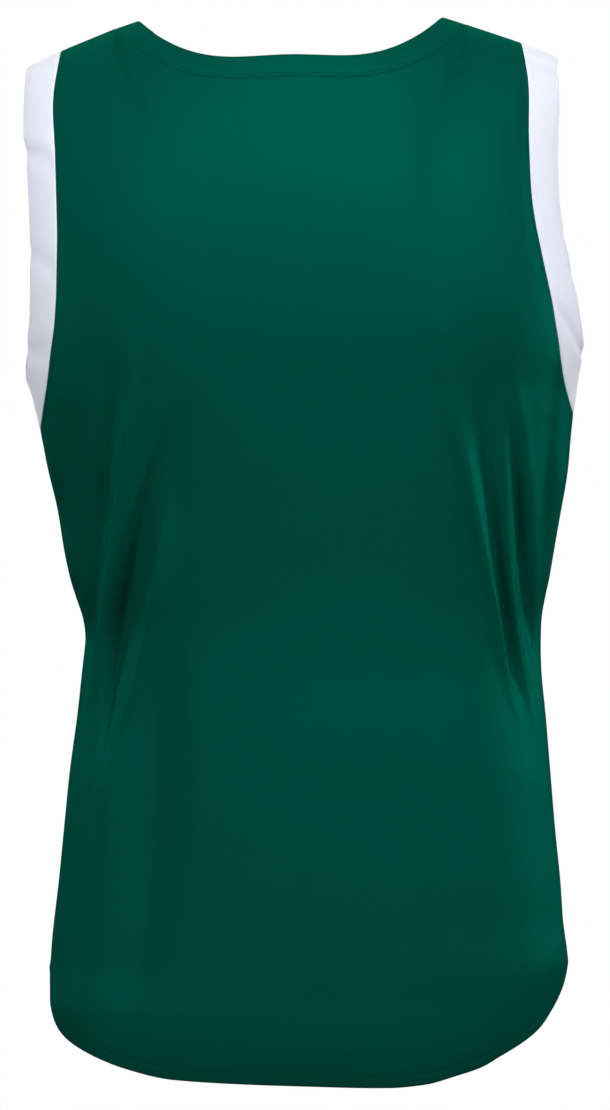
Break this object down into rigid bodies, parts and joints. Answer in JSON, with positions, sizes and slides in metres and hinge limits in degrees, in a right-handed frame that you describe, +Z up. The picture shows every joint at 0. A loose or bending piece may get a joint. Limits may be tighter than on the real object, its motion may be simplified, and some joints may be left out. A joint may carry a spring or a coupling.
{
  "type": "basketball jersey",
  "caption": "Sleeveless basketball jersey in its worn, filled-out form, hollow, with open neck, armholes and drop-tail hem; dark green knit with white armhole bands.",
  "frame": {"origin": "middle of the shoulder line, at the height of the neck points, where the wearer's shoulders carry the garment", "axes": "+Z up towards the neck, -Y towards the garment's back, +X towards the wearer's right"},
  "size_m": [0.391, 0.2442, 0.7398],
  "materials": {
    "green_knit": "smooth, slightly lustrous polyester knit, dark forest green",
    "white_knit": "smooth matte polyester knit, cool white"
  },
  "bodies": {
    "root": {"back_panel": "green_knit", "front_panel": "green_knit", "neck_band": "green_knit", "armhole_band_left": "white_knit", "armhole_band_right": "white_knit"}
  },
  "joints": []
}
